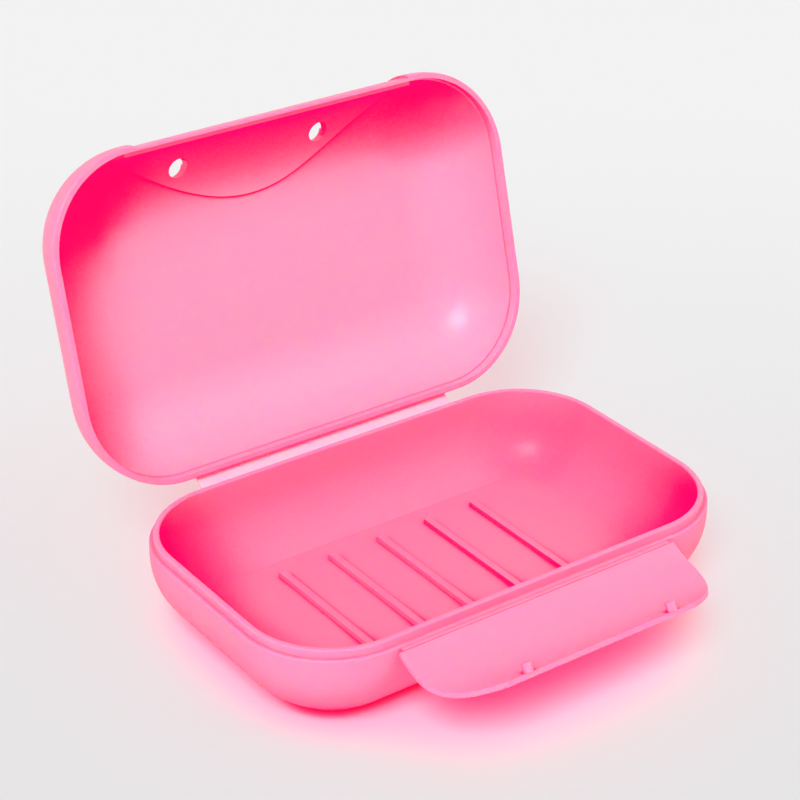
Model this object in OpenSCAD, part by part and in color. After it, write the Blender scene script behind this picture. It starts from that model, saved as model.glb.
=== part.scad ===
// Travel soap box: a tray and a lid moulded in one piece with a folding strip between them,
// and a latch flap folded out from the tray's front edge. Drawn open, as it stands on a table.
// Lengths are in millimetres. X runs along the fold, Y from the latch to the fold, Z up.
// The origin is the middle of the foot's flat underside.

/* [Box] */
// Length of the tray at its rim
base_length = 116; // [104:1:130]
// Width of the tray at its rim, from front to back
base_width = 73.5; // [68:0.5:82]
// Height of the tray from its flat underside up to the ledge that the lid rests on
base_height = 19.5; // [18.5:0.5:24]
// Depth of the lid from its rim to its flat top
lid_height = 19.5; // [19.5:0.5:24]
// Radius of the tray's corners seen from above
corner_radius = 21; // [19:0.5:23]
// Radius between the tray's walls and its underside
base_edge_radius = 16.5; // [12:0.5:17.5]
// Radius between the lid's walls and its top
lid_edge_radius = 18.5; // [17:0.5:18.5]
// Height of the flat foot that the tray stands on
foot_height = 0.8; // [0.6:0.1:1.2]

/* [Walls] */
// Thickness of the tray's wall
base_wall = 2.3; // [2.1:0.1:2.8]
// Thickness of the tray's floor
floor_thickness = 3.2; // [2.4:0.2:4]
// Thickness of the lid's wall
lid_wall = 1.7; // [1.5:0.1:2.2]
// Height of the drain ribs on the tray's floor
rib_height = 1.2; // [0.6:0.2:2]

/* [Rim] */
// Height of the lip that stands up inside the lid when it is shut
lip_height = 1.9; // [1.2:0.1:2.4]
// Width of the ledge outside the lip
ledge_width = 0.95; // [0.9:0.05:1.2]
// How far the lid's rim stands out past the tray's rim
lid_overhang = 0.7; // [0.6:0.1:1]
// Width of the lid's end face, outside the rebate that takes the lip
lid_end_face = 1.3; // [1:0.1:1.4]
// Gap between the two rims when the box is shut
seat_gap = 0.1; // [0.05:0.05:0.3]
// Radius of the rims' outer edges and of the lip's edges
rim_round = 0.3; // [0.1:0.05:0.35]

/* [Latch] */
// Width of the latch flap
flap_width = 71.2; // [66:0.2:72]
// Length of the latch flap from its root to its tip, seen square to the lid's rounded edge
flap_reach = 24.4; // [22:0.2:24.6]
// Thickness of the latch flap
flap_thickness = 1.1; // [0.9:0.1:1.2]
// Depth of the recess in the lid that the shut flap lies in
recess_depth = 0.6; // [0.3:0.1:0.8]
// Gap between the shut flap and the recess, at its back and round its edge
flap_clearance = 0.2; // [0.15:0.05:0.3]
// Distance between the two pegs and between the two holes
peg_spacing = 37; // [28:1:44]
// Diameter of a peg
peg_diameter = 2.2; // [1.6:0.1:2.4]
// Diameter of a hole in the lid
hole_diameter = 4.6; // [4.2:0.1:5]

/* [Folding strip] */
// Length of the folding strip along the back
strip_length = 68; // [50:1:72]
// Distance between the two folds of the strip
fold_pitch = 4.2; // [3.8:0.1:5]
// Thickness of the strip
strip_thickness = 1; // [0.9:0.1:1.2]
// Thickness of the film at each fold
film_thickness = 0.4; // [0.3:0.05:0.45]

/* [Pose] */
// How far the lid is open
lid_angle = 104.6; // [0:0.2:170]
// How far the flap is folded out
flap_angle = 120; // [0:1:160]

/* [Hidden] */
plastic = [0.98, 0.56, 0.74];
$fn = 96;

// Corner centres, shared by the tray and the lid
cx = base_length / 2 - corner_radius;
cy = base_width / 2 - corner_radius;
lid_radius = corner_radius + lid_overhang;
lid_front = -(cy + lid_radius);
base_front = -base_width / 2;

// Heights
body_z = foot_height;
foot_root = 1.2;
foot_inset = base_edge_radius - 4.6;
ledge_z = foot_height + base_height;
lid_z = ledge_z + seat_gap;
lip_root = 1;
rebate_depth = lip_height + 0.25;

// Drain ribs
rib_pitch = 13;
rib_width = 1.6;
rib_half = cy + 4;
rib_root = 0.5;

// Folds at the back, drawn with the box shut
fold_y = -lid_front + 0.97;
base_fold_z = (ledge_z + lid_z) / 2 - fold_pitch / 2;
lid_fold_z = base_fold_z + fold_pitch;
bead_radius = film_thickness / 2 + 0.15;
bead_clearance = 0.06;
strip_end = 0.3;
flange_y = -lid_front + 0.15;
flange_half = 0.4;
flange_root = 1;

// Fold of the flap at the front
flap_fold_y = base_front - 0.7;
flap_fold_z = ledge_z - rim_round - 0.25;
flap_bead = 0.3;
flap_film = min(film_thickness, 0.4);
flap_bottom = flap_fold_z + flap_bead + 0.1;

// The lid's rounded front edge, which the latch panel and the flap follow
edge_y = lid_front + lid_edge_radius;
edge_z = lid_z + lid_height - lid_edge_radius;
recess_radius = lid_edge_radius - recess_depth;
panel_wall = lid_wall + 0.15;
panel_back = recess_radius - panel_wall;
flap_inner = recess_radius + flap_clearance;
flap_outer = flap_inner + flap_thickness;

// Outlines of the flap and of the panel's back, seen square to that edge
flap_crown = 57;
flap_corner = 14;
back_half = flap_width / 2 + 1.5;
back_reach = flap_reach + 1.9;
back_crown = 46;

// Pegs and holes
hole_inset = 10;
peg_angle = acos((lid_edge_radius - hole_inset) / ((recess_radius + panel_back) / 2));
peg_height = 2.1;

// Sizes of cutting blocks, larger than the lid
span = base_length + 20;
block_below = 4;
block_height = lid_edge_radius - 0.5;

// Turns its children about the axis through y, z along X
module about(y, z, a) {
  translate([0, y, z]) rotate([a, 0, 0]) translate([0, -y, -z]) children();
}

module open_strip() about(fold_y, base_fold_z, -lid_angle / 2) children();
module open_lid() open_strip() about(fold_y, lid_fold_z, -lid_angle / 2) children();
module open_flap() about(flap_fold_y, flap_fold_z, flap_angle) children();

// Sweeps a wall section round a box. The section's X is 0 at the corner centres and grows outwards.
module round_the_box(floor_z, floor_t) {
  for (sx = [0, 1], sy = [0, 1])
    mirror([sx, 0, 0]) mirror([0, sy, 0])
      translate([cx, cy, 0]) rotate_extrude(angle = 90) children();
  for (sy = [0, 1])
    mirror([0, sy, 0]) translate([-cx, cy, 0])
      rotate([90, 0, 90]) linear_extrude(height = 2 * cx) children();
  for (sx = [0, 1])
    mirror([sx, 0, 0]) translate([cx, cy, 0])
      rotate([90, 0, 0]) linear_extrude(height = 2 * cy) children();
  translate([-cx, -cy, floor_z]) cube([2 * cx, 2 * cy, floor_t]);
}

// A quarter of a disc whose centre is at x, z. It fills the side that sx and sz point to.
module quarter(x, z, r, sx, sz) {
  translate([x, z]) intersection() {
    circle(r);
    translate([min(sx, 0) * r, min(sz, 0) * r]) square([r, r]);
  }
}

// Half of a box's outline in section, from the corner centre out to the wall and its rounded rim
module half_outline(r, edge, bottom, top, rim = 0) {
  translate([0, bottom]) square([r - edge, top - bottom]);
  translate([0, bottom + edge]) square([r, top - rim - bottom - edge]);
  quarter(r - edge, bottom + edge, edge, 1, -1);
  if (rim > 0) {
    translate([r - edge, bottom + edge]) square([edge - rim, top - bottom - edge]);
    quarter(r - rim, top - rim, rim, 1, 1);
  }
}

// The lip in section, with its two top edges rounded
module lip_section() {
  inner = corner_radius - base_wall;
  outer = corner_radius - ledge_width;
  top = ledge_z + lip_height;
  translate([inner, ledge_z - lip_root]) square([outer - inner, top - rim_round - ledge_z + lip_root]);
  translate([inner + rim_round, ledge_z]) square([outer - inner - 2 * rim_round, lip_height]);
  quarter(inner + rim_round, top - rim_round, rim_round, -1, 1);
  quarter(outer - rim_round, top - rim_round, rim_round, 1, 1);
}

module base_section() {
  difference() {
    half_outline(corner_radius, base_edge_radius, body_z, ledge_z, rim_round);
    intersection() {
      half_outline(corner_radius - base_wall, base_edge_radius - base_wall,
                   body_z + base_wall, ledge_z + 1);
      translate([-1, body_z + floor_thickness]) square([corner_radius + 1, base_height]);
    }
  }
  lip_section();
}

// The lid's sections are drawn with the rim at 0 and the top above it
module lid_solid_section() {
  mirror([0, 1]) half_outline(lid_radius, lid_edge_radius, -lid_height, 0, rim_round);
}

module lid_section() {
  difference() {
    lid_solid_section();
    mirror([0, 1])
      half_outline(lid_radius - lid_wall, lid_edge_radius - lid_wall, -(lid_height - lid_wall), 1);
    translate([-1, -1]) square([lid_radius - lid_end_face + 1, rebate_depth + 1]);
  }
}

// Rounded outline seen from above, inset from the tray's rim
module plan(inset) {
  r = corner_radius - inset;
  square([2 * cx, 2 * (cy + r)], center = true);
  square([2 * (cx + r), 2 * cy], center = true);
  for (sx = [-1, 1], sy = [-1, 1]) translate([sx * cx, sy * cy]) circle(r);
}

// A block that an outline cuts out of the lid, seen from above and in front at 45 degrees
module facing_block() {
  translate([0, lid_front, lid_z]) rotate([45, 0, 0]) translate([0, 0, -block_below])
    linear_extrude(height = block_height) children();
}

// The space behind a surface that follows the lid's front edge at radius r, flat above and below
module behind_edge(r) {
  depth = base_width / 2;
  translate([-span / 2, 0, 0]) rotate([90, 0, 90]) linear_extrude(height = span) {
    translate([edge_y, edge_z]) circle(r, $fn = 200);
    translate([edge_y - r, edge_z - lid_edge_radius]) square([depth, lid_edge_radius]);
    translate([edge_y, edge_z - lid_edge_radius]) square([depth, lid_edge_radius + r]);
  }
}

// Outline of the panel's back, a crescent at its top
module back_outline() {
  intersection() {
    translate([0, back_reach - back_crown]) circle(back_crown, $fn = 200);
    translate([-back_half, -block_below]) square([2 * back_half, back_reach + 2 * block_below]);
  }
}

// Outline of the flap, or of the recess round it, with a bowed tip and two large round corners
module flap_outline(grow) {
  half = flap_width / 2 + grow;
  corner = flap_corner + grow;
  crown = flap_crown + grow;
  reach = flap_reach + grow;
  x0 = half - corner;
  z0 = reach - crown + sqrt(pow(crown - corner, 2) - x0 * x0);
  ux = x0 / (crown - corner);
  uz = sqrt(1 - ux * ux);
  past_tip = 1.2 * corner;
  intersection() {
    translate([0, reach - crown]) circle(crown, $fn = 200);
    union() {
      translate([-half, -block_below]) square([2 * half, z0 + block_below]);
      for (s = [-1, 1]) translate([s * x0, z0]) circle(corner);
      polygon([[-x0, 0], [x0, 0], [x0, z0], [x0 + past_tip * ux, z0 + past_tip * uz],
               [-x0 - past_tip * ux, z0 + past_tip * uz], [-x0, z0]]);
    }
  }
}

module base_tray() color(plastic) {
  round_the_box(body_z, floor_thickness) base_section();
  linear_extrude(height = foot_height + foot_root) plan(foot_inset);
  // Flange that carries the strip's lower fold
  translate([-strip_length / 2, base_width / 2 - flange_root, base_fold_z - flange_half])
    cube([strip_length, flange_y - base_width / 2 + flange_root, 2 * flange_half]);
  // Drain ribs
  for (i = [-2:2])
    translate([i * rib_pitch - rib_width / 2, -rib_half, body_z + floor_thickness - rib_root])
      cube([rib_width, 2 * rib_half, rib_height + rib_root]);
}

module base_fold_film() color(plastic) {
  translate([-strip_length / 2, flange_y, base_fold_z - film_thickness / 2])
    cube([strip_length, fold_y - flange_y, film_thickness]);
  translate([-strip_length / 2, fold_y, base_fold_z]) rotate([0, 90, 0])
    cylinder(r = bead_radius, h = strip_length, $fn = 48);
}

module hinge_strip() color(plastic) open_strip() {
  difference() {
    translate([-strip_length / 2, fold_y - strip_thickness / 2, base_fold_z + strip_end])
      cube([strip_length, strip_thickness, fold_pitch - 2 * strip_end]);
    for (z = [base_fold_z, lid_fold_z])
      translate([-strip_length / 2 - 1, fold_y, z]) rotate([0, 90, 0])
        cylinder(r = bead_radius + bead_clearance, h = strip_length + 2, $fn = 48);
  }
}

module lid_fold_film() color(plastic) open_lid() {
  translate([-strip_length / 2, flange_y, lid_fold_z - film_thickness / 2])
    cube([strip_length, fold_y - flange_y, film_thickness]);
  translate([-strip_length / 2, fold_y, lid_fold_z]) rotate([0, 90, 0])
    cylinder(r = bead_radius, h = strip_length, $fn = 48);
}

module lid_shell() color(plastic) open_lid() {
  difference() {
    union() {
      translate([0, 0, lid_z]) round_the_box(lid_height - lid_wall, lid_wall) lid_section();
      // Back of the latch panel, standing into the lid
      difference() {
        intersection() {
          translate([0, 0, lid_z]) round_the_box(0, lid_height) lid_solid_section();
          facing_block() back_outline();
        }
        behind_edge(panel_back);
        translate([-span / 2, lid_front + lid_end_face, lid_z - 1])
          cube([span, base_width / 2, rebate_depth + 1]);
      }
      // Flange that carries the strip's upper fold
      translate([-strip_length / 2, -lid_front - flange_root, lid_fold_z - flange_half])
        cube([strip_length, flange_y + lid_front + flange_root, 2 * flange_half]);
    }
    // The latch panel's recess
    difference() {
      facing_block() flap_outline(flap_clearance);
      behind_edge(recess_radius);
    }
    // Holes for the pegs, in the direction in which the mould opens
    for (s = [-1, 1])
      translate([s * peg_spacing / 2, lid_front + hole_inset, edge_z])
        cylinder(d = hole_diameter, h = lid_edge_radius + 1, $fn = 48);
  }
}

module latch_fold_film() color(plastic) {
  w = flap_width - 2;
  translate([-w / 2, flap_fold_y, flap_fold_z - flap_film / 2])
    cube([w, base_front - flap_fold_y, flap_film]);
  translate([-w / 2, flap_fold_y, flap_fold_z]) rotate([0, 90, 0])
    cylinder(r = flap_bead, h = w, $fn = 48);
}

module latch_flap() color(plastic) open_flap() {
  difference() {
    intersection() {
      behind_edge(flap_outer);
      facing_block() flap_outline(0);
    }
    behind_edge(flap_inner);
    translate([-span / 2, lid_front - span / 2, flap_bottom - span])
      cube([span, span, span]);
  }
}

module peg(x) {
  open_flap() intersection() {
    translate([x, edge_y, edge_z]) rotate([90 - peg_angle, 0, 0])
      translate([0, 0, flap_inner - peg_height]) cylinder(d = peg_diameter, h = 2 * peg_height, $fn = 48);
    behind_edge(flap_inner);
  }
}

module left_peg() color(plastic) peg(-peg_spacing / 2);

module right_peg() color(plastic) peg(peg_spacing / 2);

base_tray();
base_fold_film();
hinge_strip();
lid_fold_film();
lid_shell();
latch_fold_film();
latch_flap();
left_peg();
right_peg();
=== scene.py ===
"""Looks of the travel soap box: translucent pink plastic on a pale floor under soft studio light."""
import math

import bpy
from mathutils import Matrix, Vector

MM = 0.001

# Camera, solved from the photograph. The turn is in degrees, the lens and sensor are in millimetres.
CAMERA_AT = (-0.25922, -0.35143, 0.28526)
CAMERA_TURN = (61.529, -0.019, -35.488)
FOCAL_LENGTH = 106.4
SENSOR_WIDTH = 36.0
CLIP_START = 0.01

# Colours of the plastic, linear. It is palest in the open. The lid's inner side is painted paler as painted
# light, the tray's inner side darker as painted shade, and hollows and shaded sides take painted shade.
PINK = (0.98, 0.46, 0.75)
PINK_LID_PAINTED_LIGHT = (0.98, 0.59, 0.84)
PINK_TRAY_PAINTED_SHADE = (0.98, 0.38, 0.64)
PINK_THIN = (0.94, 0.76, 1.0)
# Painted shade colour for hollows and shaded sides
PAINTED_SHADE_PINK = (0.98, 0.0, 0.14)
# Colour of the light that passes through the plastic, and of the painted glow in its shaded hollows
GLOW = (1.0, 0.01, 0.26)
SHADOW_TINT = (0.95, 0.04, 0.34)

# Colours of the floor and the room, linear. The floor carries a painted light falloff, paler away from the
# camera, and painted pink light and a painted pink shadow around the part.
FLOOR_FRONT = (0.80, 0.805, 0.81)
FLOOR_BACK = (0.915, 0.915, 0.92)
# Painted pink light around the part, and a painted pink shadow close to it
FLOOR_PAINTED_BLEED = (0.80, 0.72, 0.90)
FLOOR_PAINTED_SPILL = (1.0, 0.0, 0.30)
SKY = (1.0, 1.0, 1.0)

# Rays for each measure of how open a place is. Such a measure is 0 where all is covered and 1 in the open.
OPENNESS_SAMPLES = 16

# Painted shade: a hollow deepens by how open it is within this distance, between the two shares deepest and
# palest
HOLLOW_REACH = 22.0 * MM
HOLLOW_DEEPEST = 0.10
HOLLOW_PALEST = 0.70
# Painted shade: a shaded side deepens by how open it is within this distance, in a direction that is the
# surface's own divided by the lean, plus the one towards SHADE_FROM. Lid and tray each have their two
# shares, and the tray's give it more painted shade.
SHADE_REACH = 25.0 * MM
SHADE_LEAN = 4.0
SHADE_FROM = (-1.0, -1.5, 2.1)
LID_SHADE = (0.53, 0.65)
TRAY_SHADE = (0.62, 0.80)
# How much of the painted shade colour a shaded outer side takes
OUTER_SHARE = 0.35
# Half the width of the change from inner to outer side
SIDE_BAND = 2.0 * MM

# Share of the light that passes through a wall and through a film
GLOW_SHARE = 0.30
FILM_GLOW_SHARE = 0.15
# Strength of a painted glow in the painted shade of hollows and shaded sides, standing for light that
# reaches them through the walls around
PAINTED_HOLLOW_GLOW = 0.35
# Depth that light travels in the plastic, and how far each of its colours goes of that
LIGHT_DEPTH = 3.0 * MM
LIGHT_SPREAD = (1.0, 0.10, 0.30)
PLASTIC_IOR = 1.49
# Level of the mirror-like light in the open. It is taken away where shade is painted, so a deep hollow has
# no reflections.
SHINE = 0.5

# Noises, each with its scale, detail and roughness
CLOUDS = (38.0, 3.0, 0.55)
GRAIN = (2600.0, 2.0, 0.6)
WAVES = (55.0, 1.0, 0.4)
# What the darkest cloud leaves of the colour
CLOUD_DEPTH = 0.97
# The waves' middle values and the roughness that they give
WAVE_RANGE = (0.3, 0.7)
GLOSS_RANGE = (0.30, 0.37)
BUMP_STRENGTH = 0.25
WAVE_HEIGHT = 0.04 * MM
GRAIN_HEIGHT = 0.006 * MM

# Middles of the two hollows
TRAY_HOLLOW = (0.0, 0.0, 0.018)
LID_HOLLOW = (0.0, 0.057, 0.058)

# Edges sharper than this angle, in degrees, stay sharp
SMOOTH_ANGLE = 32.0

# Painted light falloff: the floor is painted paler away from the camera, along this axis and between these
# two places
SWEEP_AXIS = (0.58, 0.81, 0.0)
SWEEP_START = -0.10
SWEEP_END = 0.30
# Share and level of the floor's own light, which also is the level of the room behind it
SWEEP_SHARE = 0.62
SWEEP_LEVEL = 0.97
# How far around the part the floor is painted with pink light and loses its own light, and between which
# shares
SWEEP_REACH = 40.0 * MM
SWEEP_RANGE = (0.28, 0.72)
# How far a painted pink shadow spreads on the floor where the part stands close, and between which shares
SPILL_REACH = 3.0 * MM
SPILL_RANGE = (0.20, 0.80)
FLOOR_ROUGHNESS = 0.9
FLOOR_SHINE = 0.2
FLOOR_HALF = 4.0

# The room's light, and the lamps with their directions, widths in degrees and strengths
ROOM_LIGHT = 0.38
LAMPS = {
    "key": ((-1.5, -1.3, 2.1), 26.0, 2.35),
    "fill": ((1.8, -1.0, 1.8), 45.0, 0.25),
}


class Nodes:
    """A node tree of a material or world with short calls for adding nodes and links"""

    def __init__(self, owner):
        """owner is a new material or world"""
        self.owner = owner
        self.owner.use_nodes = True
        self.tree = self.owner.node_tree
        self.tree.nodes.clear()

    def add(self, kind, **values):
        """A new node. Each value sets the node's property of that name, or else its input."""
        node = self.tree.nodes.new(kind)
        for key, value in values.items():
            if hasattr(node, key):
                setattr(node, key, value)
            else:
                node.inputs[key.replace("_", " ")].default_value = value
        return node

    def link(self, source, output, target, socket):
        self.tree.links.new(source.outputs[output], target.inputs[socket])

    def map_range(self, source, output, low, high, to_low, to_high):
        node = self.add("ShaderNodeMapRange", interpolation_type="SMOOTHSTEP",
                        From_Min=low, From_Max=high, To_Min=to_low, To_Max=to_high)
        self.link(source, output, node, "Value")
        return node

    def noise(self, where, values):
        """Noise on the object's own coordinates. values are its scale, detail and roughness."""
        scale, detail, roughness = values
        node = self.add("ShaderNodeTexNoise", Scale=scale, Detail=detail, Roughness=roughness)
        self.link(where, "Object", node, "Vector")
        return node

    def openness(self, reach):
        """A node whose AO is the share of directions that are open within reach"""
        return self.add("ShaderNodeAmbientOcclusion", Distance=reach, samples=OPENNESS_SAMPLES)

    def larger(self, first, first_output, second, second_output):
        node = self.add("ShaderNodeMath", operation="MAXIMUM")
        self.link(first, first_output, node, 0)
        self.link(second, second_output, node, 1)
        return node

    def seen_rays(self):
        """A node whose Value is 1 for what the camera sees, also in a mirror or through glass, and else 0"""
        path = self.add("ShaderNodeLightPath")
        mirrored = self.larger(path, "Is Camera Ray", path, "Is Glossy Ray")
        return self.larger(mirrored, "Value", path, "Is Transmission Ray")

    def mix_colour(self, first, second, output="Result"):
        """Each of the two is a colour, or a node that gives one in output. The factor is linked later."""
        node = self.add("ShaderNodeMix", data_type="RGBA")
        for socket, colour in (("A", first), ("B", second)):
            if isinstance(colour, tuple):
                node.inputs[socket].default_value = (*colour, 1)
            else:
                self.link(colour, output, node, socket)
        return node

    def mix_shaders(self, first, first_output, second, second_output):
        """The factor, which is 0 for the first and 1 for the second, is set or linked later"""
        node = self.add("ShaderNodeMixShader")
        self.link(first, first_output, node, 1)
        self.link(second, second_output, node, 2)
        return node

    def finish(self, shader, output, kind="Material"):
        out = self.add("ShaderNodeOutput" + kind)
        self.link(shader, output, out, "Surface")
        return self.owner


def plastic(name, outside, inside, glow_share, hollow_share, shade, hollow_at):
    """Translucent polypropylene. outside and inside are the colours of its two sides in the open, where
    inside on the lid is painted paler as painted light and on the tray darker as painted shade, glow_share
    is the share of light that passes through it, and hollow_share how much painted shade its hollows and
    shaded sides take. shade holds the two shares of light between which the painted shade on a shaded side
    goes from its deepest to its palest. hollow_at is the middle of the piece's hollow."""
    n = Nodes(bpy.data.materials.new(name))
    where = n.add("ShaderNodeTexCoord")

    # Which side of the wall this is: 1 on the outer side and 0 on the side that faces the hollow
    inward = n.add("ShaderNodeVectorMath", operation="SUBTRACT")
    inward.inputs[0].default_value = hollow_at
    n.link(where, "Object", inward, 1)
    facing = n.add("ShaderNodeVectorMath", operation="DOT_PRODUCT")
    n.link(inward, "Vector", facing, 0)
    n.link(where, "Normal", facing, 1)
    outer = n.map_range(facing, "Value", -SIDE_BAND, SIDE_BAND, 1.0, 0.0)
    # The inner side takes its own colour, painted paler on the lid as painted light and darker in the tray
    # as painted shade
    sides = n.mix_colour(inside, outside)
    n.link(outer, "Result", sides, "Factor")

    # Slow clouds in the colour
    cloud = n.noise(where, CLOUDS)
    dimmer = n.map_range(cloud, "Fac", 0.0, 1.0, 1.0, CLOUD_DEPTH)
    open_colour = n.add("ShaderNodeVectorMath", operation="SCALE")
    n.link(sides, "Result", open_colour, "Vector")
    n.link(dimmer, "Result", open_colour, "Scale")

    # Painted shade: hollows are painted a deeper colour, standing for light that is coloured at each bounce
    hollow = n.openness(HOLLOW_REACH)
    painted_hollow_shade = n.map_range(hollow, "AO", HOLLOW_DEEPEST, HOLLOW_PALEST, hollow_share, 0.0)

    # Painted shade also goes on the sides that are covered towards SHADE_FROM, standing for light that has
    # come through a wall. An outer side takes less of it.
    geometry = n.add("ShaderNodeNewGeometry")
    lean = n.add("ShaderNodeVectorMath", operation="MULTIPLY_ADD")
    n.link(geometry, "Normal", lean, 0)
    lean.inputs[1].default_value = (1 / SHADE_LEAN,) * 3
    lean.inputs[2].default_value = Vector(SHADE_FROM).normalized()
    shaded = n.openness(SHADE_REACH)
    n.link(lean, "Vector", shaded, "Normal")
    share = n.map_range(outer, "Result", 0.0, 1.0, hollow_share, OUTER_SHARE * hollow_share)
    painted_side_shade = n.map_range(shaded, "AO", *shade, hollow_share, 0.0)
    n.link(share, "Result", painted_side_shade, "To Min")

    # The painted shade is the larger of the hollow's and the side's
    painted_shade = n.larger(painted_hollow_shade, "Result", painted_side_shade, "Result")
    painted_tint = n.mix_colour(open_colour, PAINTED_SHADE_PINK, output="Vector")
    n.link(painted_shade, "Value", painted_tint, "Factor")
    # Where shade is painted, a painted glow is added and the reflections are taken away
    painted_glow = n.map_range(painted_shade, "Value", 0.0, 1.0, 0.0, PAINTED_HOLLOW_GLOW)
    shine = n.map_range(painted_shade, "Value", 0.0, 1.0, SHINE, 0.0)

    # Satin of the mould, with slow waviness and a fine grain
    grain = n.noise(where, GRAIN)
    wave = n.noise(where, WAVES)
    gloss = n.map_range(wave, "Fac", *WAVE_RANGE, *GLOSS_RANGE)
    low = n.add("ShaderNodeBump", Strength=BUMP_STRENGTH, Distance=WAVE_HEIGHT)
    n.link(wave, "Fac", low, "Height")
    fine = n.add("ShaderNodeBump", Strength=BUMP_STRENGTH, Distance=GRAIN_HEIGHT)
    n.link(grain, "Fac", fine, "Height")
    n.link(low, "Normal", fine, "Normal")

    # Its emission is the painted glow in the painted shade
    body = n.add("ShaderNodeBsdfPrincipled", IOR=PLASTIC_IOR, Subsurface_Weight=1.0,
                 Subsurface_Radius=LIGHT_SPREAD, Subsurface_Scale=LIGHT_DEPTH, Emission_Color=(*GLOW, 1))
    n.link(painted_tint, "Result", body, "Base Color")
    n.link(painted_glow, "Result", body, "Emission Strength")
    n.link(shine, "Result", body, "Specular IOR Level")
    n.link(gloss, "Result", body, "Roughness")
    n.link(fine, "Normal", body, "Normal")

    # Some light passes through the wall
    glow = n.add("ShaderNodeBsdfTranslucent", Color=(*GLOW, 1))
    both = n.mix_shaders(body, "BSDF", glow, "BSDF")
    both.inputs["Fac"].default_value = glow_share

    # Lamps shine through a wall and come out tinted
    path = n.add("ShaderNodeLightPath")
    through = n.add("ShaderNodeBsdfTransparent", Color=(*SHADOW_TINT, 1))
    whole = n.mix_shaders(both, "Shader", through, "BSDF")
    n.link(path, "Is Shadow Ray", whole, "Fac")
    return n.finish(whole, "Shader")


def floor_material():
    """Pale matte sweep that takes the part's shadow and its pink light, with more of both painted on around
    the part
    """
    n = Nodes(bpy.data.materials.new("floor"))
    where = n.add("ShaderNodeTexCoord")
    # Painted light falloff: the floor's colour gets paler away from the camera
    along = n.add("ShaderNodeVectorMath", operation="DOT_PRODUCT")
    along.inputs[1].default_value = SWEEP_AXIS
    n.link(where, "Object", along, 0)
    far = n.map_range(along, "Value", SWEEP_START, SWEEP_END, 0.0, 1.0)
    plain = n.mix_colour(FLOOR_FRONT, FLOOR_BACK)
    n.link(far, "Result", plain, "Factor")

    # Painted pink light around the part, and a painted pink shadow where the part stands close
    around = n.openness(SWEEP_REACH)
    beside = n.map_range(around, "AO", *SWEEP_RANGE, 1.0, 0.0)
    painted_bleed = n.mix_colour(plain, FLOOR_PAINTED_BLEED)
    n.link(beside, "Result", painted_bleed, "Factor")
    near = n.openness(SPILL_REACH)
    spill = n.map_range(near, "AO", *SPILL_RANGE, 1.0, 0.0)
    painted_tint = n.mix_colour(painted_bleed, FLOOR_PAINTED_SPILL)
    n.link(spill, "Result", painted_tint, "Factor")
    body = n.add("ShaderNodeBsdfPrincipled", Roughness=FLOOR_ROUGHNESS, Specular_IOR_Level=FLOOR_SHINE)
    n.link(painted_tint, "Result", body, "Base Color")

    # The open floor has light of its own for the camera, so that the part's shadow stays faint
    glow = n.add("ShaderNodeEmission", Strength=SWEEP_LEVEL)
    n.link(plain, "Result", glow, "Color")
    clear = n.map_range(around, "AO", *SWEEP_RANGE, 0.0, SWEEP_SHARE)
    seen = n.add("ShaderNodeMath", operation="MULTIPLY")
    n.link(clear, "Result", seen, 0)
    n.link(n.seen_rays(), "Value", seen, 1)
    whole = n.mix_shaders(body, "BSDF", glow, "Emission")
    n.link(seen, "Value", whole, "Fac")
    return n.finish(whole, "Shader")


def smooth(node):
    """Smooth shading over round faces, with the edges left sharp"""
    mesh = node.data
    for face in mesh.polygons:
        face.use_smooth = True
    mesh.set_sharp_from_angle(angle=math.radians(SMOOTH_ANGLE))


def far_lamp(name, towards, spread, strength):
    """A far, soft lamp in the given direction, so wide in degrees"""
    data = bpy.data.lights.new(name, "SUN")
    data.angle = math.radians(spread)
    data.energy = strength
    lamp = bpy.data.objects.new(name, data)
    lamp.location = towards
    lamp.rotation_euler = Vector(towards).to_track_quat("Z", "Y").to_euler()
    bpy.context.scene.collection.objects.link(lamp)


def light_the_room():
    """Soft white room light, with a strong soft lamp in front on the left and a weak one in front on the
    right. What the camera sees of the room is as pale as the floor's far end."""
    n = Nodes(bpy.data.worlds.new("room"))
    light = n.add("ShaderNodeBackground", Color=(*SKY, 1), Strength=ROOM_LIGHT)
    backdrop = n.add("ShaderNodeBackground", Color=(*FLOOR_BACK, 1), Strength=SWEEP_LEVEL)
    whole = n.mix_shaders(light, "Background", backdrop, "Background")
    n.link(n.seen_rays(), "Value", whole, "Fac")
    bpy.context.scene.world = n.finish(whole, "Shader", "World")
    for name, values in LAMPS.items():
        far_lamp(name, *values)


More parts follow.
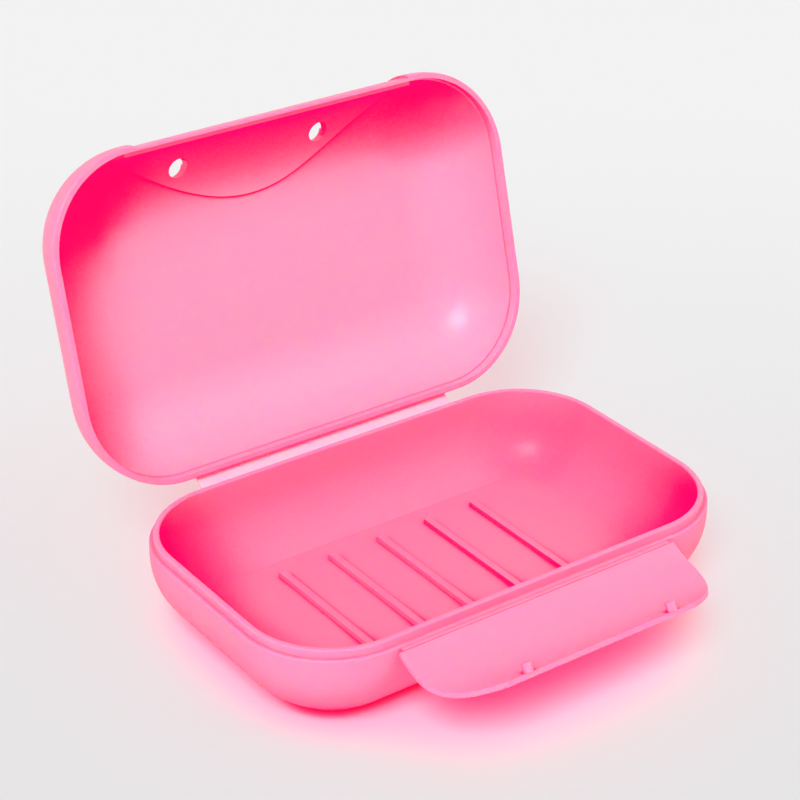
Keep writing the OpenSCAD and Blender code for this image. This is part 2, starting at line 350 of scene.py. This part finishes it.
def lay_the_floor():
    mesh = bpy.data.meshes.new("floor")
    corners = [(x * FLOOR_HALF, y * FLOOR_HALF, 0) for x, y in ((-1, -1), (1, -1), (1, 1), (-1, 1))]
    mesh.from_pydata(corners, [], [(0, 1, 2, 3)])
    floor = bpy.data.objects.new("floor", mesh)
    mesh.materials.append(floor_material())
    bpy.context.scene.collection.objects.link(floor)


def place_the_camera():
    data = bpy.data.cameras.new("camera")
    data.lens = FOCAL_LENGTH
    data.sensor_width = SENSOR_WIDTH
    data.clip_start = CLIP_START
    camera = bpy.data.objects.new("camera", data)
    camera.location = CAMERA_AT
    camera.rotation_euler = [math.radians(a) for a in CAMERA_TURN]
    bpy.context.scene.collection.objects.link(camera)
    bpy.context.scene.camera = camera


def dress(frame):
    """Gives every node its plastic"""
    flap = plastic("pink_plastic", PINK, PINK, GLOW_SHARE, 1.0, LID_SHADE, LID_HOLLOW)
    lid = plastic("pink_plastic_lid", PINK, PINK_LID_PAINTED_LIGHT, GLOW_SHARE, 1.0, LID_SHADE, LID_HOLLOW)
    tray = plastic("pink_plastic_tray", PINK, PINK_TRAY_PAINTED_SHADE, GLOW_SHARE, 1.0, TRAY_SHADE, TRAY_HOLLOW)
    # A film has no hollow, so no painted shade goes on it
    film = plastic("fold_film", PINK_THIN, PINK_THIN, FILM_GLOW_SHARE, 0.0, (0.0, 1.0), TRAY_HOLLOW)
    special = {"base_tray": tray, "lid_shell": lid, "base_fold_film": film, "hinge_strip": film,
               "lid_fold_film": film}
    for name, node in frame["nodes"].items():
        smooth(node)
        node.data.materials.clear()
        node.data.materials.append(special.get(name, flap))


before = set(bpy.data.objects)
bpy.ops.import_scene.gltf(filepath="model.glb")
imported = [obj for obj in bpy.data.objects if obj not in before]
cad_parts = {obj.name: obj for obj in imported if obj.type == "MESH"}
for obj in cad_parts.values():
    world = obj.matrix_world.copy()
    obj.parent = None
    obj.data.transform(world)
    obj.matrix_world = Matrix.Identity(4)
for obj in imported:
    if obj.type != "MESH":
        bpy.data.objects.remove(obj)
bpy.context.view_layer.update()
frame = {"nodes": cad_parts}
place_the_camera()
light_the_room()
lay_the_floor()
dress(frame)
bpy.context.scene.view_settings.view_transform = "Standard"
